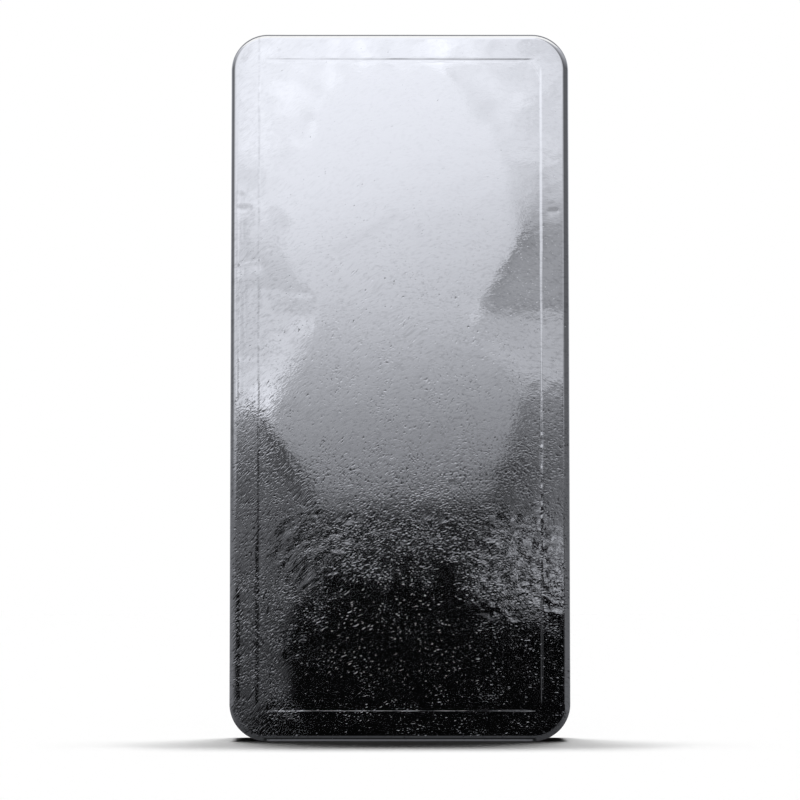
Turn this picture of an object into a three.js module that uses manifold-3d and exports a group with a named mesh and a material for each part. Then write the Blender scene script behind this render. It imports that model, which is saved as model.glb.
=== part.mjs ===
// A silver bar: one slab of fine silver, cast to weight and pressed square.
//
// Millimetres, +Z up. The bar stands on one short end: X runs across its width, Z along its
// length, and -Y is out of the face with the frame line. The origin is the middle of the end
// that it stands on.

import * as THREE from 'three';
import * as BufferGeometryUtils from 'three/addons/utils/BufferGeometryUtils.js';
import Module from 'manifold-3d';

// The slab.
const length = 165;
const width = 79;
const thickness = 22.9;
const cornerRadius = 8.6; // of the outline's four corners
const edgeRadius = 1.3; // of the rolled edge between each broad face and the sides

// The frame line: four straight strokes that the pressing die leaves on the face. They run
// alongside the edges and stop short of meeting at the corners.
const topMargin = 5.8; // from the slab's edge to the stroke's outer lip
const bottomMargin = 6.9;
const leftMargin = 6.4;
const rightMargin = 6.3;
const strokeWidth = 0.9;
const strokeDepth = 0.16;
const steepWall = 0.35; // the part of the stroke's width that its steep outer wall takes
const cornerGap = 2.2; // from the end of a stroke to the line of its neighbour

// How finely the round forms are divided.
const cornerSteps = 14;
const edgeSteps = 6;

const cutterOverlap = 0.5; // how far the cutters stand proud of the face they cut

const wasm = await Module();
wasm.setup();

/** A closed geometry as a solid that can be cut. */
function toSolid(geometry) {
  const bare = geometry.clone();
  bare.deleteAttribute('normal');
  bare.deleteAttribute('uv');
  const merged = BufferGeometryUtils.mergeVertices(bare, 1e-4);
  return new wasm.Manifold(new wasm.Mesh({
    numProp: 3,
    vertProperties: new Float32Array(merged.attributes.position.array),
    triVerts: new Uint32Array(merged.index.array),
  }));
}

/** A cut solid as a geometry again. */
function toGeometry(solid) {
  const mesh = solid.getMesh();
  const geometry = new THREE.BufferGeometry();
  geometry.setAttribute('position', new THREE.BufferAttribute(mesh.vertProperties, 3));
  geometry.setIndex(new THREE.BufferAttribute(mesh.triVerts, 1));
  geometry.computeVertexNormals();
  return geometry;
}

/** The slab's outline: a rectangle with round corners, standing on the X axis. */
function slabOutline() {
  const left = -width / 2 + cornerRadius;
  const right = width / 2 - cornerRadius;
  const low = cornerRadius;
  const high = length - cornerRadius;
  const quarter = Math.PI / 2;
  const outline = new THREE.Shape();
  outline.moveTo(left, 0);
  outline.absarc(right, low, cornerRadius, -quarter, 0);
  outline.absarc(right, high, cornerRadius, 0, quarter);
  outline.absarc(left, high, cornerRadius, quarter, 2 * quarter);
  outline.absarc(left, low, cornerRadius, 2 * quarter, 3 * quarter);
  return outline;
}

/** The slab without its frame line: the outline swept through the thickness, edges rolled. */
function makeSlab() {
  const slab = new THREE.ExtrudeGeometry(slabOutline(), {
    depth: thickness - 2 * edgeRadius,
    bevelThickness: edgeRadius,
    bevelSize: edgeRadius,
    bevelOffset: -edgeRadius,
    bevelSegments: edgeSteps,
    curveSegments: cornerSteps,
  });
  slab.translate(0, 0, edgeRadius - thickness / 2);
  slab.rotateX(Math.PI / 2);
  return slab;
}

/**
 * The cutter of one stroke, lying on the face along +X with its steep outer wall towards +Z.
 * Its section is a one-sided notch: the wall drops at once, and the floor climbs back slowly.
 */
function makeStrokeCutter(strokeLength) {
  const section = new THREE.Shape([
    new THREE.Vector2(0, -cutterOverlap),
    new THREE.Vector2(0, 0),
    new THREE.Vector2(-steepWall, strokeDepth),
    new THREE.Vector2(-strokeWidth, 0),
    new THREE.Vector2(-strokeWidth, -cutterOverlap),
  ]);
  const cutter = new THREE.ExtrudeGeometry(section, { depth: strokeLength, bevelEnabled: false });
  cutter.translate(0, 0, -strokeLength / 2);
  // The section's x becomes Z, its y becomes Y and the sweep becomes X.
  const axes = new THREE.Matrix4().makeBasis(
    new THREE.Vector3(0, 0, 1),
    new THREE.Vector3(0, 1, 0),
    new THREE.Vector3(-1, 0, 0),
  );
  cutter.applyMatrix4(axes);
  return cutter;
}

/** The four strokes of the frame line, each turned about Y to its side of the face. */
function makeFrameLine() {
  const left = -width / 2 + leftMargin;
  const right = width / 2 - rightMargin;
  const low = bottomMargin;
  const high = length - topMargin;
  const across = right - left - 2 * cornerGap;
  const along = high - low - 2 * cornerGap;
  const middleX = (left + right) / 2;
  const middleZ = (low + high) / 2;
  const strokes = [
    { span: across, turn: 0, x: middleX, z: high },
    { span: along, turn: Math.PI / 2, x: right, z: middleZ },
    { span: across, turn: Math.PI, x: middleX, z: low },
    { span: along, turn: -Math.PI / 2, x: left, z: middleZ },
  ];
  return strokes.map(({ span, turn, x, z }) => {
    const cutter = makeStrokeCutter(span);
    cutter.rotateY(turn);
    cutter.translate(x, -thickness / 2, z);
    return cutter;
  });
}

const polishedSilver = new THREE.MeshStandardMaterial({
  color: 0xe6e8ea,
  roughness: 0.14,
  metalness: 1,
});

let bar = toSolid(makeSlab());
for (const cutter of makeFrameLine()) {
  bar = bar.subtract(toSolid(cutter));
}

const ingot = new THREE.Mesh(toGeometry(bar), polishedSilver);
ingot.name = 'ingot';

const part = new THREE.Group();
part.add(ingot);

export default part;
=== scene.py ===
# %% [markdown]
# # A polished silver bar
#
# The bar is one slab of fine silver, cast to weight and pressed in a die. All that there is to
# see on it is shape and polish: round corners, rolled edges, a fine frame line on the face, and
# the faint relief that casting leaves. So this lesson is about two things. The first is a mesh
# that carries the relief. The second is what a polished metal mirrors.
#
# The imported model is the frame: it gives the slab's true size and place.

import math

import bmesh
import bpy
import numpy as np
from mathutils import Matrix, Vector


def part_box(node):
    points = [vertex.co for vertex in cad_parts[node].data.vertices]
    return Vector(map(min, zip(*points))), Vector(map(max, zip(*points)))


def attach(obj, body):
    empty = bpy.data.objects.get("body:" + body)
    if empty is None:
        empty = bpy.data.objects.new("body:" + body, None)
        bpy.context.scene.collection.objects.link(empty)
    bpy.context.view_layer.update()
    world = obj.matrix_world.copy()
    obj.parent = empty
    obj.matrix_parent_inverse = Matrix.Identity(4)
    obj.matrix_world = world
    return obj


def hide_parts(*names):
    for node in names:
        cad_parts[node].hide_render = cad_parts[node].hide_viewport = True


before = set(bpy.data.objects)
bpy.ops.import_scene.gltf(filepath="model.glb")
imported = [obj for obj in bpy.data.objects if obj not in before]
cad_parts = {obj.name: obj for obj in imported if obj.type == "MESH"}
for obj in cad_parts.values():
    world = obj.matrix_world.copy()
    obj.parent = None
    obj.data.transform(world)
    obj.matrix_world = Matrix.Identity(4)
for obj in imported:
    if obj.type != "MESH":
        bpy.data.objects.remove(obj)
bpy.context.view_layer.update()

MM = 0.001
slab_low, slab_high = (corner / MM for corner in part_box("ingot"))
WIDTH, THICKNESS, LENGTH = slab_high - slab_low
print(f"slab: {WIDTH:.1f} wide, {THICKNESS:.1f} thick, {LENGTH:.1f} mm long")

# %% [markdown]
# ## A mesh whose rows lie where the detail is
#
# A cast face could be an even grid, but the frame line is only half a millimetre wide, and a
# grid fine enough for it everywhere would be far too heavy. So the columns and rows are graded.
# A spacing is wished for at each place, the wishes are added up along the side, and the lines
# are dealt out in equal shares of that sum. They then crowd at the frame line and at the edges.

# %% The slab's measures and the frame line's places, in millimetres
CORNER_RADIUS = 8.6
EDGE_RADIUS = 1.3
LINE_LEFT = -WIDTH / 2 + 6.4
LINE_RIGHT = WIDTH / 2 - 6.3
LINE_LOW = 6.9
LINE_HIGH = LENGTH - 5.8
COLUMNS, ROWS = 192, 400  # both divide by four, for the coarser back
ARC_ROWS = 26
LINE_ROWS = 9
LINE_REACH = 0.8  # how far inward of the line its rows stay dense


def graded(low, high, count, places, fine=0.12, reach=0.9):
    """count + 1 positions from low to high, about `fine` apart within `reach` of the places."""
    along = np.linspace(low, high, 20001)
    usual = (high - low) / count
    wish = np.full_like(along, 1 / usual)
    for place in places:
        near = np.exp(-(((along - place) / reach) ** 4))
        wish += near * (1 / fine - 1 / usual)
    share = np.concatenate([[0], np.cumsum((wish[1:] + wish[:-1]) / 2)])
    return np.interp(np.linspace(0, share[-1], count + 1), share, along)


def end_rows(line):
    """Distances from an end: dealt out round the corner's arc, and dense at the frame line."""
    turns = np.linspace(0, math.pi / 2, ARC_ROWS + 1)
    arc = EDGE_RADIUS + inner_radius * (1 - np.cos(turns))
    dense = np.linspace(line - 0.2, line + LINE_REACH, LINE_ROWS)
    apart = (arc < dense[0] - 0.15) | (arc > dense[-1] + 0.15)
    return np.sort(np.concatenate([arc[apart], dense]))


inner_half = WIDTH / 2 - EDGE_RADIUS
inner_radius = CORNER_RADIUS - EDGE_RADIUS
column_x = graded(-inner_half, inner_half, COLUMNS, [LINE_LEFT + 0.3, LINE_RIGHT - 0.3])
low_rows = end_rows(LINE_LOW)
high_rows = LENGTH - end_rows(LENGTH - LINE_HIGH)[::-1]
middle_count = ROWS + 3 - len(low_rows) - len(high_rows)
middle_rows = np.linspace(low_rows[-1], high_rows[0], middle_count)
row_z = np.concatenate([low_rows[:-1], middle_rows, high_rows[1:]])
row_gap = middle_rows[1] - middle_rows[0]
print(f"grid: {len(column_x)} columns, {len(row_z)} rows, {row_gap:.2f} mm apart")

# %% [markdown]
# ## One closed skin
#
# The face's grid is squeezed, row by row, to the round corners. Its rim then runs on as rings
# over the rolled edge, along the side and over the back edge. Nobody needs so many points on a
# plain side, so twice a ring takes only every second point, and the back's grid is a quarter as
# dense as the face's. The skin stays closed, which a bar made of six plates wouldn't be.


# %% The face's grid and its rim
def row_reach(z):
    """Half the inner outline's width at height z."""
    from_end = np.minimum(z - EDGE_RADIUS, LENGTH - EDGE_RADIUS - z)
    into_corner = np.clip(inner_radius - from_end, 0, inner_radius)
    return inner_half - inner_radius + np.sqrt(np.clip(inner_radius**2 - into_corner**2, 0, None))


def round_the_rim(grid):
    """The numbers along a grid's rim, once round."""
    return np.concatenate([grid[0, :-1], grid[:-1, -1], grid[-1, :0:-1], grid[:0:-1, 0]])


grid_x = column_x[None, :] / inner_half * row_reach(row_z)[:, None]
grid_z = np.repeat(row_z[:, None], COLUMNS + 1, axis=1)
rim = round_the_rim(np.arange(grid_x.size).reshape(grid_x.shape))
rim_x, rim_z = grid_x.ravel()[rim], grid_z.ravel()[rim]
centre_x = np.clip(rim_x, -(inner_half - inner_radius), inner_half - inner_radius)
centre_z = np.clip(rim_z, CORNER_RADIUS, LENGTH - CORNER_RADIUS)
out_x, out_z = rim_x - centre_x, rim_z - centre_z
flat_side = np.abs(out_z) < 1e-6
out_x = np.where(flat_side, np.sign(rim_x) * inner_radius, out_x)
reach = np.hypot(out_x, out_z)
out_x, out_z = out_x / reach, out_z / reach
print(f"rim: {len(rim)} points")


# %% A skin that grows by rings
class Skin:
    """Points with their outward directions, and the quads and triangles between them."""

    def __init__(self):
        self.places, self.outward, self.faces, self.count = [], [], [], 0

    def add(self, x, y, z, nx, ny, nz):
        """Adds points and returns their numbers."""
        x = np.asarray(x, float)
        shape = x.shape
        full = [np.broadcast_to(v, shape).ravel() for v in (x, y, z, nx, ny, nz)]
        self.places.append(np.stack(full[:3], 1))
        self.outward.append(np.stack(full[3:], 1))
        made = np.arange(self.count, self.count + x.size).reshape(shape)
        self.count += x.size
        return made

    def quads(self, a, b, c, d):
        self.faces.extend(np.stack([a.ravel(), b.ravel(), c.ravel(), d.ravel()], 1).tolist())

    def join(self, front, back):
        """A band of quads between two rings with as many points."""
        self.quads(front, back, np.roll(back, -1), np.roll(front, -1))

    def join_halved(self, front, back):
        """A band between a ring and one with half as many points: three triangles for each."""
        first, middle, last = front[::2], front[1::2], np.roll(front, -2)[::2]
        following = np.roll(back, -1)
        self.faces.extend(np.stack([first, back, middle], 1).tolist())
        self.faces.extend(np.stack([back, following, middle], 1).tolist())
        self.faces.extend(np.stack([middle, following, last], 1).tolist())


skin = Skin()
face_y, back_y = -THICKNESS / 2, THICKNESS / 2
face = skin.add(grid_x, face_y, grid_z, 0, -1, 0)
skin.quads(face[:-1, :-1], face[:-1, 1:], face[1:, 1:], face[1:, :-1])
print(f"face: {skin.count} points, {len(skin.faces)} quads")

# %% Rings over the rolled edge, along the side and over the back edge
EDGE_STEPS, SIDE_STEPS, BACK_STEPS = 6, 7, 4
QUARTER = math.pi / 2


def ring(turn, y, every):
    """A ring round the slab. turn is the way it faces: 0 to the front, a quarter sideways."""
    aside = math.sin(turn)
    spread = EDGE_RADIUS * aside
    x = (rim_x + out_x * spread)[::every]
    z = (rim_z + out_z * spread)[::every]
    return skin.add(x, y, z, out_x[::every] * aside, -math.cos(turn), out_z[::every] * aside)


side_y = np.linspace(face_y + EDGE_RADIUS, back_y - EDGE_RADIUS, SIDE_STEPS + 1)
stations = []  # (turn, y, which of the rim's points are taken)
for turn in np.linspace(0, QUARTER, EDGE_STEPS + 1)[1:]:
    stations.append((turn, face_y + EDGE_RADIUS * (1 - math.cos(turn)), 1))
for y in side_y[1:-1]:
    stations.append((QUARTER, y, 2))
stations.append((QUARTER, side_y[-1], 4))
for turn in np.linspace(QUARTER, 2 * QUARTER, BACK_STEPS + 1)[1:-1]:
    stations.append((turn, back_y - EDGE_RADIUS * (1 + math.cos(turn)), 4))

last = face.ravel()[rim]
for turn, y, every in stations:
    following = ring(turn, y, every)
    if len(following) < len(last):
        skin.join_halved(last, following)
    else:
        skin.join(last, following)
    last = following
print(f"{len(stations)} rings, of {len(rim)} points down to {len(last)}")

# %% The back, which closes the skin
back = skin.add(grid_x[::4, ::4], back_y, grid_z[::4, ::4], 0, 1, 0)
skin.quads(back[:-1, :-1], back[1:, :-1], back[1:, 1:], back[:-1, 1:])
skin.join(last, round_the_rim(back))
places = np.concatenate(skin.places)
outward = np.concatenate(skin.outward)
triangles = sum(len(corners) - 2 for corners in skin.faces)
print(f"skin: {len(places)} points, {triangles} triangles")

# %% [markdown]
# ## The relief of a cast and pressed face
#
# No cast face is flat. It has broad swells from shrinking as it cooled, shallow dents, and fine
# wrinkles that fan out from the middle. Two smooth ovals froze last. The skin round them is
# rougher, and near the foot, where the metal froze first, it is lumpy and full of pits. The
# depths are tiny, a few hundredths of a millimetre, but a polished face shows a tilt of a fifth
# of a degree. A Displace modifier with a cloud texture could make it. Here a small gradient noise
# is written out, because each kind of relief then gets its own size, lean and depth in real
# millimetres.


# %% Gradient noise
def noise(u, v, seed):
    """Smooth noise of about -1 to 1, with bumps about one unit across."""
    period = 256
    angles = np.random.default_rng(seed).uniform(0, 2 * math.pi, (period, period))
    u0, v0 = np.floor(u).astype(int), np.floor(v).astype(int)
    fu, fv = u - u0, v - v0

    def pull(du, dv):
        angle = angles[(u0 + du) % period, (v0 + dv) % period]
        return np.cos(angle) * (fu - du) + np.sin(angle) * (fv - dv)

    su = fu**3 * (fu * (fu * 6 - 15) + 10)
    sv = fv**3 * (fv * (fv * 6 - 15) + 10)
    low = pull(0, 0) * (1 - su) + pull(1, 0) * su
    high = pull(0, 1) * (1 - su) + pull(1, 1) * su
    return 1.4 * (low * (1 - sv) + high * sv)


def smoothstep(low, high, value):
    t = np.clip((value - low) / (high - low), 0, 1)
    return t * t * (3 - 2 * t)


sample = noise(np.linspace(0, 50, 5001), np.linspace(0, 31, 5001), 1)
print(f"noise: from {sample.min():.2f} to {sample.max():.2f}")


# %% How the metal froze at each place, from 0 to 1
def spot(x, z, centre_x, centre_z, half_x, half_z):
    """1 in the middle of an oval patch with a ragged border, 0 outside it."""
    ragged = 0.35 * noise(x / 7, z / 7, 17) + 0.2 * noise(x / 2.5, z / 2.5, 18)
    away = np.hypot((x - centre_x) / half_x, (z - centre_z) / half_z) + ragged
    return smoothstep(1.25, 0.75, away)


def graininess(x, z):
    """How densely the face froze with pits, from 0 to 1."""
    lobe = smoothstep(1.12, 0.97, np.hypot(x / 29, (z - 76) / 27))
    middle = 0.05 + 0.45 * smoothstep(122, 84, z) + 0.5 * smoothstep(72, 60, z)
    middle *= 1 - 0.7 * smoothstep(22, 34, np.abs(x)) * smoothstep(78, 84, z)
    low_sides = smoothstep(82, 75, z) * (1 - lobe) * smoothstep(8, 24, np.abs(x)) * 0.4
    quiet = 0.85 * spot(x, z, 0, 14, 29, 27) + 0.85 * spot(x, z, 32, 12, 12, 20)
    corner = 0.35 * spot(x, z, -33, 7, 7, 9)
    return np.clip((middle + low_sides) * (1 - np.clip(quiet, 0, 0.85)) + corner, 0, 1)


def steepness(x, z):
    """How steep the pits' walls are, from 0 to 1. They are worn down beside the lower oval."""
    worn = smoothstep(12, 24, np.abs(x)) * smoothstep(86, 80, z)
    sharp = np.clip(spot(x, z, 33, 10, 14, 19) + 0.8 * spot(x, z, 28, 40, 13, 9), 0, 1)
    return 1 - 0.5 * worn * (1 - sharp)


def rockiness(x, z):
    """How much coarse lumps show, from 0 to 1."""
    left = spot(x, z, -21, 44, 9, 9)
    middle = 0.45 * spot(x, z, 0, 44, 22, 7)
    right = spot(x, z, 28, 40, 12, 12)
    return np.clip(left + middle + right, 0, 1)


PROBES = np.array([(0.0, 120.0), (0.0, 48.0), (28.0, 40.0)])
for kind in (graininess, steepness, rockiness):
    top, low, right = kind(*PROBES.T)
    print(f"{kind.__name__}: {top:.2f} near the top, {low:.2f} low down, {right:.2f} low on the right")


# %% What each kind of relief takes off the face, in millimetres
LEAN, TURN = 0.2, 0.0058  # the wrinkles' slope at the middle, and how it turns to the sides


def swells(x, z):
    return 0.014 * noise(x / 38 + 3.1, z / 44 + 1.7, 11) + 0.004 * noise(x / 15, z / 19, 12)


def dents(x, z):
    return 0.0025 * noise(x / 5.5, z / 4.5, 13)


def wrinkles(x, z):
    bend = 1.5 * noise(x / 9, z / 9, 14)
    along = x + bend
    across = z - x * (LEAN - x * TURN) + bend
    rocks = noise(along / 5, across / 3.2, 16) + noise(along / 2.4, across / 1.5, 15)
    rocks += 0.4 * noise(along / 1.3, across / 0.9, 19)
    return 0.0004 * noise(along / 2.6, across / 1.25, 20) + 0.022 * rockiness(x, z) * rocks


def outside_lobes(x, z):
    """0 on the two smooth ovals that froze last, 1 on the rougher skin round them."""
    upper = np.hypot(x / 28.5, (z - 129) / 31)
    lower = np.hypot(x / 29.5, (z - 75) / 29)
    return smoothstep(0.92, 1.12, np.minimum(upper, lower))


def leather(x, z):
    """Soft creasing of the skin near the edges."""
    lean = x * 0.35
    amount = outside_lobes(x, z) * (0.4 + 0.6 * smoothstep(24, 34, np.abs(x))) * smoothstep(70, 86, z)
    coarse = noise(x / 3.0, (z - lean) / 2.0, 41)
    fine = noise(x / 1.4, (z - lean) / 1.0, 42)
    return amount * (0.0024 * coarse + 0.0012 * fine)


print(f"the wrinkles rise {LEAN} mm in a millimetre at the middle of the face")

# %% The frame line
def wall(along, inward, half_span, width, seed):
    """0 outside a wall of the pressed panel and 1 inside. It fades away towards its ends."""
    wobble = 0.05 * noise(along / 6, along * 0 + 0.5, seed)
    ends = 6 * smoothstep(half_span - 0.8, half_span + 2.0, np.abs(along))
    return smoothstep(0, width + ends, inward + wobble)


def bite(inward, depth, outer=0.2, inner=1.0):
    """A groove where the die's edge bit in. outer and inner are the widths of its two walls."""
    width = np.where(inward < 0.25, outer, inner)
    return depth * np.exp(-(((inward - 0.25) / width) ** 2))


def frame_line(x, z):
    """A panel pressed in by a few hundredths of a millimetre, with bitten edges."""
    middle_x, middle_z = (LINE_LEFT + LINE_RIGHT) / 2, (LINE_LOW + LINE_HIGH) / 2
    half_x = (LINE_RIGHT - LINE_LEFT) / 2 - 1.8
    half_z = (LINE_HIGH - LINE_LOW) / 2 - 1.8
    upper = smoothstep(20, 60, z)
    depth = 0.013 + upper * (0.004 + 0.013 * x / half_x)
    panel = (
        depth
        * wall(x - middle_x, LINE_HIGH - z, half_x, 0.5, 21)
        * wall(x - middle_x, z - LINE_LOW, half_x, 0.5, 22)
        * wall(z - middle_z, x - LINE_LEFT, half_z, 0.6, 23)
        * wall(z - middle_z, LINE_RIGHT - x, half_z, 0.5, 24)
    )
    high = smoothstep(half_z + 1, half_z - 1, np.abs(z - middle_z))
    wide = smoothstep(half_x + 1, half_x - 1, np.abs(x - middle_x))
    dashes = smoothstep(0.0, 0.35, noise(z / 1.5, z * 0 + 0.5, 25))
    left = 0.024 * smoothstep(50, 44, z)
    right = 0.03 * dashes * smoothstep(76, 68, z) * smoothstep(38, 44, z)
    right_hair = 0.03 * smoothstep(40, 36, z)
    top = 0.011 + 0.006 * noise(x / 3, x * 0 + 0.5, 26)
    top += 0.014 * np.exp(-(((x + 0.5) / 2.4) ** 4))
    bottom = 0.014 + 0.005 * noise(x / 3, x * 0 + 0.5, 28)
    bottom += 0.009 * smoothstep(-20, -25, x)
    return (
        panel
        + bite(x - LINE_LEFT, left, 0.4) * high
        + bite(LINE_RIGHT - x, right, 0.2, 0.45) * high
        + bite(LINE_RIGHT - x, right_hair, 0.2, 0.2) * high
        + bite(LINE_HIGH - z, top, 0.2, 0.5) * wide
        + bite(z - LINE_LOW, bottom) * wide
    )


print(f"frame line: {LINE_LEFT:.1f} to {LINE_RIGHT:.1f} across, {LINE_LOW} to {LINE_HIGH:.1f} up")

# %% Creases and scratches
CREASES = [  # from, to, the steep wall's width and the depth, in millimetres
    ((-38.8, 124.2), (-34.6, 124.0), 0.25, 0.030),
    ((-38.8, 110.0), (-31.5, 111.6), 0.40, 0.032),
    ((-38.8, 88.2), (-33.0, 88.4), 0.40, 0.010),
    ((-33.0, 103.0), (-19.5, 102.4), 1.20, 0.008),
    ((34.0, 123.2), (37.6, 123.6), 0.30, 0.012),
    ((-37.5, 78.0), (-37.6, 128.0), 0.20, 0.022),
    ((-37.1, 9.0), (-37.3, 36.0), 0.50, 0.045),
    ((-27.0, 20.3), (-13.0, 21.3), 0.22, 0.012),
    ((25.0, 18.4), (27.4, 18.5), 0.22, 0.012),
    ((11.6, 61.0), (14.0, 58.6), 0.25, 0.008),
    ((-15.6, 112.0), (1.0, 122.0), 1.60, 0.008),
    ((9.8, 137.7), (23.7, 136.4), 0.60, 0.003),
    ((-2.0, 152.2), (4.0, 146.0), 0.60, 0.003),
]


def creases(x, z):
    """Folds with one steep wall, which taper towards their ends."""
    total = np.zeros_like(x)
    for (x0, z0), (x1, z1), steep, depth in CREASES:
        run_x, run_z = x1 - x0, z1 - z0
        span = math.hypot(run_x, run_z)
        along = ((x - x0) * run_x + (z - z0) * run_z) / span
        aside = ((z - z0) * run_x - (x - x0) * run_z) / span
        aside += 0.2 * noise(along / 2.5, along * 0, 43)
        taper = smoothstep(0, 1.2, along) * smoothstep(span, span - 1.2, along)
        width = np.where(aside > 0, steep, 5 * steep)
        total += depth * taper * np.exp(-((aside / width) ** 2))
    return total


print(f"{len(CREASES)} creases, the deepest {max(crease[3] for crease in CREASES)} mm")

# %% Lay the relief on the skin
x, y, z = places.T
on_face = np.clip(-outward[:, 1], 0, 1) ** 2
on_back = np.clip(outward[:, 1], 0, 1) ** 2
on_side = 1 - on_face - on_back
face_relief = np.zeros_like(x)
for kind in (swells, dents, wrinkles, leather, creases, frame_line):
    taken = kind(x, z)
    face_relief += taken
    print(f"{kind.__name__}: {np.ptp(taken[on_face > 0.999]):.3f} mm")
back_relief = 0.035 * noise(x / 34, z / 40, 31) + 0.006 * noise(x / 6, z / 6, 32)
END_NOISE = 400  # keeps the ends' noise apart from the long sides'
round_the_side = np.where(np.abs(outward[:, 0]) > 0.7, z, x + END_NOISE)
side_relief = 0.03 * noise(round_the_side / 28, y / 40, 33)
side_relief += 0.006 * noise(round_the_side / 7, y / 9, 34)
for relief, part in ((face_relief, on_face), (back_relief, on_back), (side_relief, on_side)):
    relief -= relief[part > 0.999].min()
depth = face_relief * on_face + back_relief * on_back + side_relief * on_side
places = places - outward * depth[:, None]
print(f"in all: {np.ptp(face_relief[on_face > 0.999]):.3f} mm")

# %% The bar's mesh
mesh = bpy.data.meshes.new("silver_bar")
mesh.from_pydata((places * MM).tolist(), [], skin.faces)
mesh.update()
mesh.shade_smooth()
for name, values in (
    ("cast_face", on_face),
    ("grainy", graininess(x, z) * on_face),
    ("rocky", rockiness(x, z) * on_face),
    ("steep", steepness(x, z)),
):
    mark = mesh.attributes.new(name, "FLOAT", "POINT")
    mark.data.foreach_set("value", values.astype(np.float32))
bar = bpy.data.objects.new("silver_bar", mesh)
bpy.context.scene.collection.objects.link(bar)
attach(bar, "root")
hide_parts("ingot")

measured = bmesh.new()
measured.from_mesh(mesh)
volume = measured.calc_volume(signed=True) / MM**3 / 1000
open_edges = sum(not edge.is_manifold for edge in measured.edges)
measured.free()
SILVER_DENSITY = 10.49  # g/cm3
print(f"bar: {volume:.1f} cm3, {volume * SILVER_DENSITY:.0f} g of silver, {open_edges} open edges")

# %% [markdown]
# ## Shader maths as plain Python
#
# A material's nodes are easier to read as a formula. The class below wraps one socket, so that
# adding or multiplying two of them lays down the Math node. Every other node comes from one
# method, which takes the node's type, its settings and the values or links of its sockets.


# %% A socket as a number
class Wire:
    """A node's output. Arithmetic on it adds Math nodes."""

    def __init__(self, sheet, socket):
        self.sheet, self.socket = sheet, socket

    def math(self, operation, *others):
        return self.sheet.math(operation, self, *others)

    def __add__(self, other):
        return self.math("ADD", other)

    def __sub__(self, other):
        return self.math("SUBTRACT", other)

    def __mul__(self, other):
        return self.math("MULTIPLY", other)

    def __truediv__(self, other):
        return self.math("DIVIDE", other)

    def __rsub__(self, other):
        return self.sheet.math("SUBTRACT", other, self)

    def __rtruediv__(self, other):
        return self.sheet.math("DIVIDE", other, self)

    def __neg__(self):
        return self.math("MULTIPLY", -1.0)

    __radd__, __rmul__ = __add__, __mul__

    def between(self, low, high):
        """0 below low, 1 above high, and a soft step from one to the other."""
        return self.sheet.node(
            "ShaderNodeMapRange",
            {"interpolation_type": "SMOOTHSTEP"},
            {"Value": self, "From Min": low, "From Max": high},
        )


# %% A sheet to lay nodes on
TO_MM = 1000.0  # shaders measure in metres


class Sheet:
    """A node tree that nodes are laid on."""

    def __init__(self, owner):
        owner.use_nodes = True
        self.tree = owner.node_tree
        self.tree.nodes.clear()

    def node(self, kind, settings=None, sockets=None, out=0):
        made = self.tree.nodes.new(kind)
        for name, value in (settings or {}).items():
            if name == "stops":
                while len(made.color_ramp.elements) < len(value):
                    made.color_ramp.elements.new(0.5)
                for element, (position, grey) in zip(made.color_ramp.elements, value):
                    element.position = position
                    element.color = (grey, grey, grey, 1)
            else:
                setattr(made, name, value)
        for name, value in (sockets or {}).items():
            if isinstance(value, Wire):
                self.tree.links.new(value.socket, made.inputs[name])
            else:
                made.inputs[name].default_value = value
        return Wire(self, made.outputs[out]) if made.outputs else None

    def outputs(self, kind, settings=None, sockets=None):
        """Lays down a node and gives all its outputs, by name."""
        made = self.node(kind, settings, sockets).socket.node
        return {socket.name: Wire(self, socket) for socket in made.outputs}

    def math(self, operation, *values):
        return self.node("ShaderNodeMath", {"operation": operation}, dict(enumerate(values)))

    def mix(self, factor, a, b, blend="MIX"):
        """Two colours mixed. A Mix node's colour inputs are its 6 and 7, and its output is 2."""
        settings = {"data_type": "RGBA", "blend_type": blend}
        return self.node("ShaderNodeMix", settings, {"Factor": factor, 6: a, 7: b}, out=2)

    def in_mm(self, vector):
        """A vector's x, y and z as three wires, in millimetres."""
        parts = self.outputs("ShaderNodeSeparateXYZ", sockets={0: vector})
        return [part * TO_MM for part in parts.values()]

    def cloud(self, u, v, w, detail=0.0):
        """Blender's noise at a place given in its own units, about -0.5 to 0.5."""
        vector = self.node("ShaderNodeCombineXYZ", sockets={0: u, 1: v, 2: w})
        values = {"Vector": vector, "Scale": 1.0, "Detail": detail}
        return self.node("ShaderNodeTexNoise", sockets=values) - 0.5


# %% [markdown]
# ## Polished silver
#
# Silver is the whitest metal, so its colour is close to white and the rest is polish. The finest
# relief is too small for the mesh: ripples half a millimetre wide, and pits where the metal shrank.
# It goes into Bump nodes, with its height in real metres, so that the slopes are true ones. A pit's
# wall leans a little, and shade is painted into the colour just above it, so it has a dark and a
# bright side. Painted shade also lies thinly on the rough skin, as cloudy streaks along the
# wrinkles that stand for its fine creasing, and as a dotted line in the left side of the frame
# line, where its groove would be in shade.
#
# One finish would be too even. Real silver has mirror-smooth plateaus and a little rough grain
# between them, so a Mix Shader blends two finishes, and the grain takes only a few parts in a
# hundred.

# %% The silver
silver = bpy.data.materials.new("polished_silver")
sheet = Sheet(silver)
px, py, pz = sheet.in_mm(sheet.outputs("ShaderNodeTexCoord")["Object"])


def mark(name):
    """A value that the mesh carries at each of its points."""
    return sheet.outputs("ShaderNodeAttribute", {"attribute_name": name})["Fac"]


cast, grainy, rocky, steep = (mark(name) for name in ("cast_face", "grainy", "rocky", "steep"))
print(f"silver: {len(sheet.tree.nodes)} nodes read the place and the mesh's marks")

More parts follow.
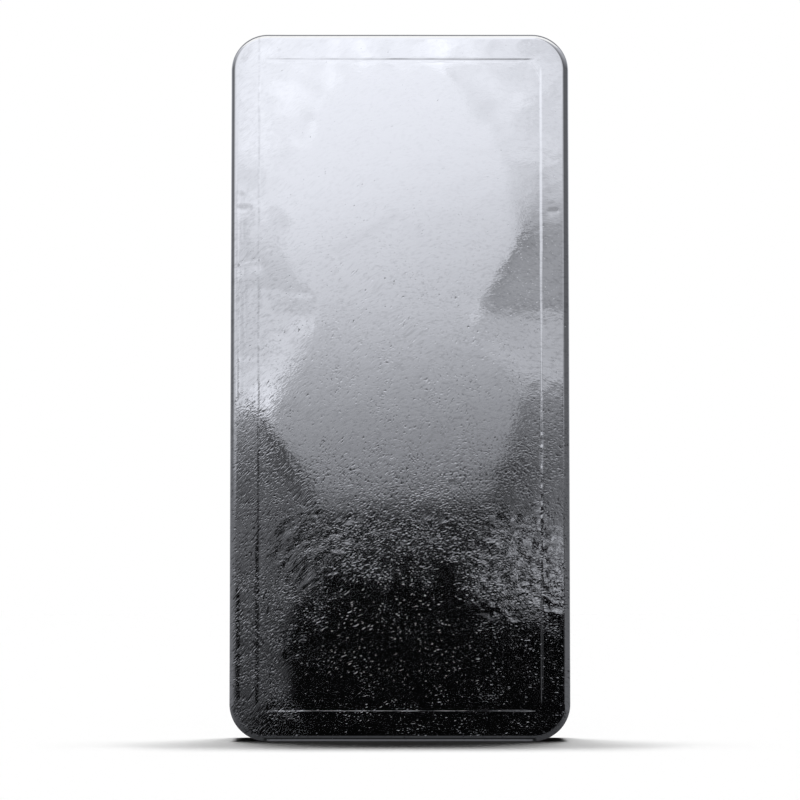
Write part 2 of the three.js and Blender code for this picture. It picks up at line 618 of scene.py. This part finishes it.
# %% Directions and parts of the face
bend = sheet.cloud(px / 9, py / 9, pz / 9, detail=1.0) * 4
along = px + bend
across = pz - px * (LEAN - px * TURN) + bend
top_part = pz.between(105, 135)
upper_part = pz.between(72, 110)
above_rocks = pz.between(50, 62)
low_part = 1 - pz.between(28, 46)
near_side = px.math("ABSOLUTE").between(20, 34) * (1 - top_part * 0.6)

# %% Ripples, lumps and pits
PIT_LONG, PIT_HIGH = 0.62, 0.27  # a pit's size along the wrinkles and across them, in millimetres
PIT_LEAN = 0.16


def pit_cloud(height):
    return sheet.cloud(along / PIT_LONG, py / 2, height / PIT_HIGH)


ripples = sheet.cloud(along / 0.75, py / 2, across / 0.40, detail=1.0)
lumps = sheet.cloud(along / 0.9, py / 4, across / 0.6, detail=2.0)
clusters = sheet.cloud(px / 6, py / 6, pz / 5, detail=2.0)
fewer = 0.29 - grainy * 0.2 - clusters * 0.3 + top_part * 0.08 - low_part * 0.02
leaning = across + pit_cloud(across) * PIT_LEAN
pits = (pit_cloud(leaning) - fewer).math("MAXIMUM", 0.0)
pit_depth = steep * (0.036 + above_rocks * 0.008 + upper_part * 0.125 + low_part * 0.035)
relief = lumps * rocky * 0.012 - pits * pit_depth
print(f"pits about {PIT_LONG} x {PIT_HIGH} mm")


# %% The heights of the two finishes
PLAIN_SHARE = 0.25  # how much of the fine relief the sides and the back have


def bump(height):
    in_metres = height * (PLAIN_SHARE + cast * (1 - PLAIN_SHARE)) * MM
    values = {"Strength": 1.0, "Distance": 1.0, "Height": in_metres}
    return sheet.node("ShaderNodeBump", sockets=values)


soft_bump = bump(relief + ripples * (0.0006 + grainy * 0.002 + near_side * 0.0013))
full_bump = bump(relief + ripples * (0.05 + grainy * 0.2))
print(f"bump: {PLAIN_SHARE} of it on the sides and the back")

# %% Painted shade, and the colour
LINE_DARK, LINE_DARK_HALF = LINE_LEFT + 0.15, 0.4  # the dotted line of painted shade: its middle and half its width
PIT_SHADE_UP = 0.28  # how far above its pit the painted shade sits
MOST_PAINTED_SHADE = 0.9
# The bright silver, and the dark colour that the painted shade below mixes in.
BRIGHT, TARNISHED = (0.93, 0.935, 0.94, 1), (0.12, 0.12, 0.125, 1)
# Painted shade of the fine creasing: cloudy dark streaks along the wrinkles, stronger on the rough
# skin and near the sides, weaker at the top.
painted_grain_shade = sheet.cloud(along / 1.2, py / 2, across / 0.55, detail=2.0).math("MAXIMUM", 0.0)
painted_grain_shade *= 0.6 - top_part * 0.4 + grainy * 0.4 + near_side * 0.45
# Painted shade on the upper side of each pit, where its wall faces down; darkness is how strong it is.
darkness = 4.5 - above_rocks * 1.5 - upper_part * 2.5
painted_pit_shade = (pit_cloud(across - PIT_SHADE_UP) - fewer).math("MAXIMUM", 0.0) * darkness
# Painted shade in dots along the left side of the frame line, where its groove would be in shade.
off_line = (px - LINE_DARK).math("ABSOLUTE") / LINE_DARK_HALF
dots = sheet.cloud(0.5, 0.5, pz / 0.9, detail=1.0).between(-0.2, 0.12)
painted_line_shade = (1 - off_line).math("MAXIMUM", 0.0) * cast * dots * pz.between(44, 52)
painted_line_shade *= 0.95 - pz.between(68, 76) * 0.5 - pz.between(88, 108) * 0.28
# All the painted shade, mixed into the silver's colour.
painted_shade = (painted_grain_shade + painted_pit_shade + painted_line_shade).math("MINIMUM", MOST_PAINTED_SHADE)
colour = sheet.mix(painted_shade, BRIGHT, TARNISHED)
print(f"tarnish: from grey {BRIGHT[0]} to {TARNISHED[0]}")


# %% Two finishes of one metal
def polish(roughness, normal):
    return sheet.node(
        "ShaderNodeBsdfPrincipled",
        sockets={
            "Base Color": colour,
            "Metallic": 1.0,
            "Roughness": roughness,
            "Normal": normal,
        },
    )


MIRROR_ROUGHNESS, GRAIN_ROUGHNESS = 0.03, 0.09
smear = sheet.cloud(px / 16, py / 16, pz / 16, detail=3.0)
plateaus = polish(MIRROR_ROUGHNESS + smear * 0.02, soft_bump)
grains = polish(GRAIN_ROUGHNESS, full_bump)
grain_share = 0.012 + grainy * 0.03
shader = sheet.node("ShaderNodeMixShader", sockets={0: grain_share, 1: plateaus, 2: grains})
sheet.node("ShaderNodeOutputMaterial", sockets={"Surface": shader})
mesh.materials.append(silver)
print(f"silver: {len(sheet.tree.nodes)} nodes")

# %% [markdown]
# ## The camera
#
# A long lens stands close to the floor and looks slightly up, so the bar fills the picture, and
# its top is a hair narrower than its foot.

# %% Place the camera
CAMERA_DISTANCE = 750.0  # from the bar's face, in millimetres
CAMERA_HEIGHT = 31.2
CAMERA_ASIDE = 0.03
CAMERA_PITCH = math.radians(3.65)
CAMERA_LENS = 145.4
camera_data = bpy.data.cameras.new("camera")
camera_data.lens = CAMERA_LENS
camera = bpy.data.objects.new("camera", camera_data)
camera.location = Vector((CAMERA_ASIDE, face_y - CAMERA_DISTANCE, CAMERA_HEIGHT)) * MM
camera.rotation_euler = (math.pi / 2 + CAMERA_PITCH, 0, 0)
bpy.context.scene.collection.objects.link(camera)
bpy.context.scene.camera = camera
print(f"camera: {CAMERA_DISTANCE:.0f} mm in front, {CAMERA_HEIGHT} mm up, {CAMERA_LENS} mm lens")

# %% [markdown]
# ## What the silver mirrors
#
# A polished bar has hardly any look of its own: it shows the studio. In front stand a tall
# bright wall, two soft boxes one above the other, and dark flats at their sides. A round tent
# stands behind them, bright in front and grey at the sides, which draws the dark contour round
# the bar. All of them show only in reflections.
#
# A card is placed by where it should show on the face. A flat mirror shows the point that lies
# as far beyond it as the card is in front, so a place on the face is carried on along the line
# from the camera, which stretches the card. Its tones are given by the same heights. No card is
# lit evenly, so most have soft clouds, and some grow darker towards one side.


# %% Stage objects and tones
STUDIO_TINT = (0.98, 1.0, 1.08, 1)  # a cool daylight
SILVER_SHARE = 0.935  # how much of the light the silver gives back


def linear(grey):
    """The light that a screen grey of 0 to 255 stands for."""
    value = grey / 255
    return ((value + 0.055) / 1.055) ** 2.4 if value > 0.04 else value / 12.92


def stage_object(name, vertices, faces, material):
    data = bpy.data.meshes.new(name)
    data.from_pydata([tuple(c * MM for c in v) for v in vertices], [], faces)
    data.materials.append(material)
    made = bpy.data.objects.new(name, data)
    bpy.context.scene.collection.objects.link(made)
    return made


def ramp(paper, value, stops):
    """Light that follows a value through stops of (value, grey)."""
    low, high = stops[0][0], stops[-1][0]
    steps = [((at - low) / (high - low), linear(grey)) for at, grey in stops]
    return paper.node("ShaderNodeValToRGB", {"stops": steps}, {"Fac": (value - low) / (high - low)})


print(f"a screen grey of 128 stands for {linear(128):.3f} of the light")


# %% Things that only shine
def glow(name, paint):
    """A material that only shines. paint turns a place, in millimetres, into an amount of light."""
    material = bpy.data.materials.new(name)
    material.cycles.emission_sampling = "NONE"
    paper = Sheet(material)
    place = paper.in_mm(paper.outputs("ShaderNodeNewGeometry")["Position"])
    tinted = paper.mix(1.0, paint(paper, *place), STUDIO_TINT, blend="MULTIPLY")
    bounced = paper.outputs("ShaderNodeLightPath")["Diffuse Depth"].math("MINIMUM", 1.0)
    strength = (1 - bounced) / SILVER_SHARE
    light = paper.node("ShaderNodeEmission", sockets={"Color": tinted, "Strength": strength})
    paper.node("ShaderNodeOutputMaterial", sockets={"Surface": light})
    return material


def mirrored(name, vertices, faces, paint):
    """A stage object that shines and shows only in reflections."""
    made = stage_object(name, vertices, faces, glow(name, paint))
    made.visible_camera = False
    made.visible_diffuse = False
    made.visible_transmission = False
    made.visible_shadow = False


# %% A card in front of the face
SCREEN_DISTANCE, CARD_GAP = 900.0, 2.0
CLOUD_SIZE = 13.0
cards = []


def beyond(x, z, distance):
    """Where the camera sees a place of the face's mirror image, at that distance in front."""
    stretch = distance / CAMERA_DISTANCE
    return x * (1 + stretch), z + (z - CAMERA_HEIGHT) * stretch


def card(name, corners, tones, lean=0.0, mottle=0.0, shades=()):
    """A flat card. Its corners and its (height, grey) tones are where they show on the face.

    Each of its shades is (x where it is full, x where it ends, how much light it takes).
    """
    cards.append(name)
    number = float(len(cards))
    distance = SCREEN_DISTANCE - CARD_GAP * number
    spots = [beyond(x, z, distance) for x, z in corners]
    vertices = [(x, face_y - distance, z) for x, z in spots]
    stops = [(beyond(0, z, distance)[1], grey) for z, grey in tones]

    def paint(paper, x, y, z):
        clouds = paper.cloud(x / CLOUD_SIZE, number, z / CLOUD_SIZE, detail=4.0)
        mottled = (1 + clouds * (2 * mottle)).math("MAXIMUM", 0.1)
        light = ramp(paper, z - x * lean, stops) * mottled
        stretch = 1 + distance / CAMERA_DISTANCE
        for full, end, share in shades:
            light = light * (1 - x.between(end * stretch, full * stretch) * share)
        return light

    mirrored(name, vertices, [list(range(len(vertices)))], paint)
    print(f"{name}: {distance:.0f} mm in front of the face")


# %% The bright wall and the two soft boxes
CARDS_LEFT, CARDS_RIGHT = -90.0, 62.0  # how far to each side the cards go, as shown on the face
HORIZON = 31.3  # where the face shows things at the camera's height
card(
    "bright_wall",
    [(CARDS_LEFT, HORIZON), (CARDS_RIGHT, HORIZON), (CARDS_RIGHT, 250), (CARDS_LEFT, 250)],
    [(31, 220), (78, 226), (92, 204), (112, 206), (124, 220), (137, 235), (152, 242), (250, 247)],
    mottle=0.35,
    shades=[(38, 14, 0.26), (-42, -28, 0.1)],
)
card(
    "left_shade",
    [(-60, 116), (-27, 116), (-25, 112), (-18, 104.5), (-20, 100.5), (-27, 101), (-34, 105),
     (-60, 109)],
    [(100, 200), (103, 190), (108, 192), (116, 207)],
    mottle=0.1,
)
card(
    "right_wall",
    [(10, 158), (17, 140), (24, 130), (30, 117), (CARDS_RIGHT, 117), (CARDS_RIGHT, 158)],
    [(117, 154), (120, 166), (124, 184), (130, 206), (136, 218), (152, 228), (158, 230)],
    mottle=0.3,
    shades=[(38, 24, 0.12)],
)
card(
    "upper_box",
    [(-18, 100), (19, 101), (26, 112), (30, 118), (29, 132), (24, 136), (17, 146), (12, 154), (8, 157),
     (-8, 157), (-15, 154), (-19, 146), (-20, 139), (-27, 133), (-28, 128), (-25, 120), (-27, 115)],
    [(100, 190), (112, 204), (118, 210), (123, 217), (129, 223), (135, 228), (147, 234), (158, 239)],
    lean=0.3,
    shades=[(31, 24, 0.15)],
)
card(
    "lower_box",
    [(-15, 44), (15, 44), (18, 51), (20.5, 56), (22, 60.5), (25, 66), (27, 70), (28, 75), (30.5, 82),
     (28, 84), (24, 87), (20, 91), (17, 96), (18, 101), (-18, 101), (-22, 93), (-24, 88), (-27, 83),
     (-30, 77), (-30, 74.5), (-28, 71), (-25.5, 66), (-21.5, 61), (-19.5, 56.5), (-17, 51)],
    [(44, 4), (50, 12), (54, 64), (60, 119), (65, 131), (77, 149), (89, 171), (102, 193)],
    lean=0.1,
)

# %% Grey patches beside the boxes
card(
    "right_shelf",
    [(20, 100), (17, 96), (20, 91), (24, 87), (28, 84), (31, 82), (CARDS_RIGHT, 82),
     (CARDS_RIGHT, 99)],
    [(79, 144), (86, 158), (92, 170), (97, 178), (99, 172)],
    lean=-0.3,
    mottle=0.15,
)
card(
    "right_patch",
    [(31.5, 119), (30, 118), (26, 112), (23.5, 108), (21, 103), (18.5, 101.5), (20, 100), (30, 99.5),
     (CARDS_RIGHT, 99), (CARDS_RIGHT, 120)],
    [(99, 140), (101, 136), (103, 148), (110, 152), (115, 148), (119, 150)],
    mottle=0.3,
)
card(
    "patch_rim",
    [(31.5, 119), (30, 118), (26, 112), (23.5, 108), (21, 103), (24, 102), (30, 108), (36, 114),
     (38, 119)],
    [(62, 150), (68, 148), (71.5, 134), (74, 116)],
    lean=1.44,
    mottle=0.3,
)

# %% Dark flats at the sides
FOOT = 17.0  # where the face shows the foot of the cards
card(
    "left_flat",
    [(CARDS_LEFT, 80), (-37, 77.5), (-33, 77), (-31, 75.5), (-29, 72.5), (-27.5, 70), (-25.5, 66),
     (-21.5, 61), (-19.5, 56.5), (-17, 51), (-14, 44), (-12, 30), (-10, FOOT), (CARDS_LEFT, FOOT)],
    [(27, 42), (40, 54), (51, 70), (60, 84), (66, 74), (76, 80), (82, 108), (88, 150)],
    lean=0.3,
    mottle=0.5,
)
card(
    "left_rim",
    [(-37.5, 77.3), (-33, 76.8), (-31, 75.3), (-29, 72.3), (-27.5, 69.8), (-25.5, 65.8), (-21.5, 60.8),
     (-19.5, 56.3), (-17.5, 52), (-21, 53), (-23.5, 57), (-27, 62), (-29.5, 67), (-31.5, 71.5),
     (-34, 74.5)],
    [(52, 52), (60, 56), (70, 52), (77, 44)],
    mottle=0.5,
)
card(
    "right_flat",
    [(CARDS_RIGHT, 83), (31, 82), (29, 79), (28, 75), (27, 70), (25, 66), (22, 60.5), (20.5, 56),
     (18, 51.5), (14, 44), (12, FOOT), (CARDS_RIGHT, FOOT)],
    [(30, 101), (38, 90), (44, 84), (50, 104), (56, 124), (64, 136)],
    lean=0.6,
    mottle=0.5,
    shades=[(21, 39, 0.55)],
)

# %% The lowest cards, between the boxes and the floor
card(
    "ring",
    [(-26, 50), (-17, 51), (-14, 46), (14, 46), (18, 51), (22, 46), (21, 38), (16, 30), (-24, 30),
     (-22, 40), (-27, 46)],
    [(30, 6), (36, 7), (42, 8), (48, 10), (51, 14)],
    mottle=2.5,
)
card(
    "right_foot",
    [(24, 46), (30, 48), (CARDS_RIGHT, 48), (CARDS_RIGHT, 30), (33, 31), (30, 29.5), (24, 31),
     (20, 32), (16, 38), (21, 41)],
    [(30, 64), (34, 140), (37, 150), (41, 158), (48, 136)],
    mottle=2.0,
    shades=[(20, 38, 0.75)],
)
card(
    "right_rim",
    [(28.3, 70), (27, 68), (25, 65), (22, 60.5), (20.5, 57), (24, 57.5), (28, 61), (31, 66), (31, 70)],
    [(57, 52), (64, 58), (70, 84)],
    mottle=0.5,
)
card("dark_hook", [(12, 52.5), (21, 53), (30, 47), (27, 41), (19, 36), (13, 44)], [(36, 4), (52, 8)])
card(
    "low_flat",
    [(-25.5, FOOT), (-28.5, 22), (-27, 26), (-24, 30.5), (-19, 32), (-12, 37), (-8, 40), (8, 40),
     (14, 38), (17, 34), (20, 31), (24, 30.5), (33, 30.5), (CARDS_RIGHT, 30.5), (CARDS_RIGHT, FOOT)],
    [(17, 4), (46, 4)],
)
print(f"{len(cards)} cards in all")

# %% [markdown]
# ## The tent and the floor as the silver sees them
#
# In front of the face the floor is black when seen from low down: a mat with fine ribs lies on it,
# and a low line of sight meets nothing but ribs. On the other sides the ribs have the tent's
# tone. From higher up the mat between them shows. Near the foot it carries a painted shadow of
# the bar, dark at the foot; it is paler further out and dark again towards the tent, so that the
# bar has a soft gradient from any side and no hard horizon.

# %% The tones round the bar
TENT_RADIUS, TENT_HEIGHT = 1100.0, 1300.0
FRONT_LEFT = [(0, 82), (40, 88), (90, 104), (150, 190), (190, 206), (300, 226), (700, 244)]
FRONT_RIGHT = [(0, 12), (60, 20), (100, 95), (150, 150), (250, 182), (400, 225), (700, 244)]
BACK = [(0, 124), (60, 130), (330, 200), (420, 200), (640, 140), (1300, 134)]
SIDE_LEFT = [(0, 103), (400, 103), (800, 170), (1300, 205)]
SIDE_RIGHT = [(0, 90), (400, 90), (800, 160), (1300, 200)]


def surroundings(paper, x, y, z):
    """The tent's light: bright in front, grey at the sides, a bright band behind."""
    out = (x * x + y * y).math("SQRT")
    facing = -y / out
    right = (x / out).between(-0.08, 0.08)
    side = ramp(paper, z, SIDE_LEFT) * (1 - right) + ramp(paper, z, SIDE_RIGHT) * right
    in_front_left = facing.between(0.5, 0.99) * (1 - right)
    in_front_right = facing.between(0.95, 0.999) * right
    behind = (-facing).between(0.25, 0.75)
    in_front_left_light = ramp(paper, z, FRONT_LEFT) * in_front_left
    in_front_right_light = ramp(paper, z, FRONT_RIGHT) * in_front_right
    behind_light = ramp(paper, z, BACK) * behind
    rest = 1 - in_front_left - in_front_right - behind
    return side * rest + in_front_left_light + in_front_right_light + behind_light


print(f"tent tones: {FRONT_LEFT[0][1]} to {FRONT_LEFT[-1][1]} in front, {BACK[0][1]} low behind")

# %% The tent
TENT_SIDES = 96
tent_points = []
for side in range(TENT_SIDES):
    angle = 2 * math.pi * side / TENT_SIDES
    for height in (0.0, TENT_HEIGHT):
        tent_points.append((TENT_RADIUS * math.sin(angle), -TENT_RADIUS * math.cos(angle), height))
tent_faces = []
for side in range(TENT_SIDES):
    here, there = 2 * side, 2 * ((side + 1) % TENT_SIDES)
    tent_faces.append([here, there, there + 1, here + 1])
mirrored("tent", tent_points, tent_faces, surroundings)
print(f"tent: {TENT_RADIUS:.0f} mm round, {TENT_HEIGHT:.0f} mm high")

# %% The roof over the tent's back half
ROOF_EDGE = 60.0
roof_points = [
    (-TENT_RADIUS, ROOF_EDGE, TENT_HEIGHT),
    (TENT_RADIUS, ROOF_EDGE, TENT_HEIGHT),
    (TENT_RADIUS, TENT_RADIUS, TENT_HEIGHT),
    (-TENT_RADIUS, TENT_RADIUS, TENT_HEIGHT),
]
ROOF_TONES = [(0, 134), (TENT_RADIUS, 130)]
mirrored("roof", roof_points, [[0, 1, 2, 3]], lambda paper, x, y, z: ramp(paper, y, ROOF_TONES))
print(f"roof: begins {ROOF_EDGE:.0f} mm behind the bar's middle")

# %% The ribbed mat
RIB_HEIGHT, MAT_HEIGHT = 0.15, 0.02
RIB_START, RIB_END = 7.0, TENT_RADIUS - 20
RIB_CLOSENESS = 0.45  # of the widest spacing at which the face's mirror image hides the mat
ARC_STEPS = 6
BLACK_TONE, GREY_TONE = 4, 52
BLACK_NEAR_LEFT, BLACK_LEFT, BLACK_RIGHT = -35.0, -26.0, 60.0


def rib_tone(paper, x, y, z):
    """The ribs: black where the face mirrors them in front, and toned like the tent elsewhere."""
    away = face_y - y
    shown_x = x * CAMERA_DISTANCE / (CAMERA_DISTANCE + away)
    front = away.between(2, 6)
    left_edge = shown_x - away.between(150, 380) * (BLACK_LEFT - BLACK_NEAR_LEFT)
    dark = left_edge.between(BLACK_NEAR_LEFT - 1.5, BLACK_NEAR_LEFT + 1.5)
    black = dark * (1 - shown_x.between(BLACK_RIGHT - 5, BLACK_RIGHT + 5))
    grey = (1 - dark) * shown_x.between(CARDS_LEFT - 5, CARDS_LEFT + 5)
    around = surroundings(paper, x, y, z) * (1 - front * (black + grey))
    return around + front * (black * linear(BLACK_TONE) + grey * linear(GREY_TONE))


rib_points, rib_faces = [], []
distance = RIB_START
while distance < RIB_END:
    first = len(rib_points)
    for corner, (side_x, side_y) in enumerate(((1, -1), (1, 1), (-1, 1), (-1, -1))):
        for step in range(ARC_STEPS + 1):
            angle = math.pi / 2 * (corner - 1 + step / ARC_STEPS)
            rib_x = side_x * WIDTH / 2 + distance * math.cos(angle)
            rib_y = side_y * THICKNESS / 2 + distance * math.sin(angle)
            rib_points += [(rib_x, rib_y, 0.0), (rib_x, rib_y, RIB_HEIGHT)]
    loop = (len(rib_points) - first) // 2
    for step in range(loop):
        here, there = first + 2 * step, first + 2 * ((step + 1) % loop)
        rib_faces.append([here, there, there + 1, here + 1])
    hiding = (RIB_HEIGHT - MAT_HEIGHT) * (CAMERA_DISTANCE + distance) / CAMERA_HEIGHT
    distance += RIB_CLOSENESS * hiding
mirrored("ribs", rib_points, rib_faces, rib_tone)
print(f"{len(rib_faces)} rib faces, out to {RIB_END:.0f} mm from the bar")

# %% The mat under the ribs
MAT_HALF = 1200.0
FOOT_HALF = 31.0  # half the length of the flat that the bar stands on
# Painted shadow: near the foot the mat is dark, as the floor there is in the bar's shadow.
MAT_FOOT_SHADOW = [(-1.3, 88), (-0.35, 88), (-0.15, 18), (0.25, 18), (0.8, 56), (6, 58), (20, 80)]
MAT_FAR = [(20, 80), (60, 104), (160, 150), (350, 200), (560, 212), (800, 170), (1080, 108)]


def mat_tone(paper, x, y, z):
    """The mat between the ribs: a painted shadow of the bar, dark at the foot, and pale further out.
    """
    aside, ahead = x.math("ABSOLUTE") - FOOT_HALF, y.math("ABSOLUTE") - THICKNESS / 2
    away = aside.math("MAXIMUM", ahead)
    near = ramp(paper, away, MAT_FOOT_SHADOW)
    far = ramp(paper, away, MAT_FAR)
    beyond_near = away.between(18, 22)
    return near * (1 - beyond_near) + far * beyond_near


def square(half, height):
    """The corners of a level square round the bar."""
    return [(-half, -half, height), (half, -half, height), (half, half, height), (-half, half, height)]


mirrored("mat", square(MAT_HALF, MAT_HEIGHT), [[0, 1, 2, 3]], mat_tone)
print(f"mat: {MAT_HEIGHT} mm up, {RIB_HEIGHT - MAT_HEIGHT:.2f} mm below the ribs' tops")

# %% [markdown]
# ## Floor and light
#
# The floor is plain white paper. Six soft lamps hang side by side above the bar and a little
# behind it, so its shadow is a long soft pool round the foot. A very weak one in front keeps the
# pool from going black. The world is white to the camera and in reflections, and gives only a
# little light of its own.

# %% The floor
FLOOR_HALF = 12000.0
paper_material = bpy.data.materials.new("white_paper")
paper_sheet = Sheet(paper_material)
paper_shader = paper_sheet.node("ShaderNodeBsdfDiffuse", sockets={"Color": (1, 1, 1, 1)})
paper_sheet.node("ShaderNodeOutputMaterial", sockets={"Surface": paper_shader})
stage_object("floor", square(FLOOR_HALF, 0.0), [[0, 1, 2, 3]], paper_material)
print(f"floor: {2 * FLOOR_HALF / TO_MM:.0f} m square")

# %% The lamps
WORLD_FILL = 0.01
LAMPS = [  # name, degrees aside, degrees behind, share of the light, degrees across
    ("lamp_left", -4, 16, 0.299, 8),
    ("lamp_right", 4, 16, 0.299, 8),
    ("lamp_mid_left", -8, 12, 0.129, 5),
    ("lamp_mid_right", 8, 12, 0.129, 5),
    ("lamp_far_left", -12, 12, 0.066, 10),
    ("lamp_far_right", 12, 12, 0.066, 10),
    ("lamp_front", 0, -40, 0.012, 30),
]
for name, aside, behind, share, across in LAMPS:
    lamp_data = bpy.data.lights.new(name, "SUN")
    toward = Vector((math.tan(math.radians(aside)), math.tan(math.radians(behind)), 1)).normalized()
    lamp_data.energy = (1 - WORLD_FILL) * share * math.pi / toward.z
    lamp_data.angle = math.radians(across)
    lamp = bpy.data.objects.new(name, lamp_data)
    lamp.rotation_euler = toward.to_track_quat("Z", "Y").to_euler()
    lamp.visible_glossy = False
    bpy.context.scene.collection.objects.link(lamp)
print(f"{len(LAMPS)} lamps give {sum(row[3] for row in LAMPS):.3f} of the light")

# %% The world
world = bpy.data.worlds.new("studio")
bpy.context.scene.world = world
sky = Sheet(world)
seen = sky.outputs("ShaderNodeLightPath")
showing = seen["Is Camera Ray"] + seen["Is Glossy Ray"] + seen["Is Transmission Ray"]
unbounced = 1 - seen["Diffuse Depth"].math("MINIMUM", 1.0)
strength = WORLD_FILL + showing.math("MINIMUM", 1.0) * unbounced * (1 - WORLD_FILL)
backdrop = sky.node("ShaderNodeBackground", sockets={"Color": (1, 1, 1, 1), "Strength": strength})
sky.node("ShaderNodeOutputWorld", sockets={"Surface": backdrop})
bpy.context.scene.view_settings.view_transform = "Standard"
print(f"world: {WORLD_FILL} of the light")
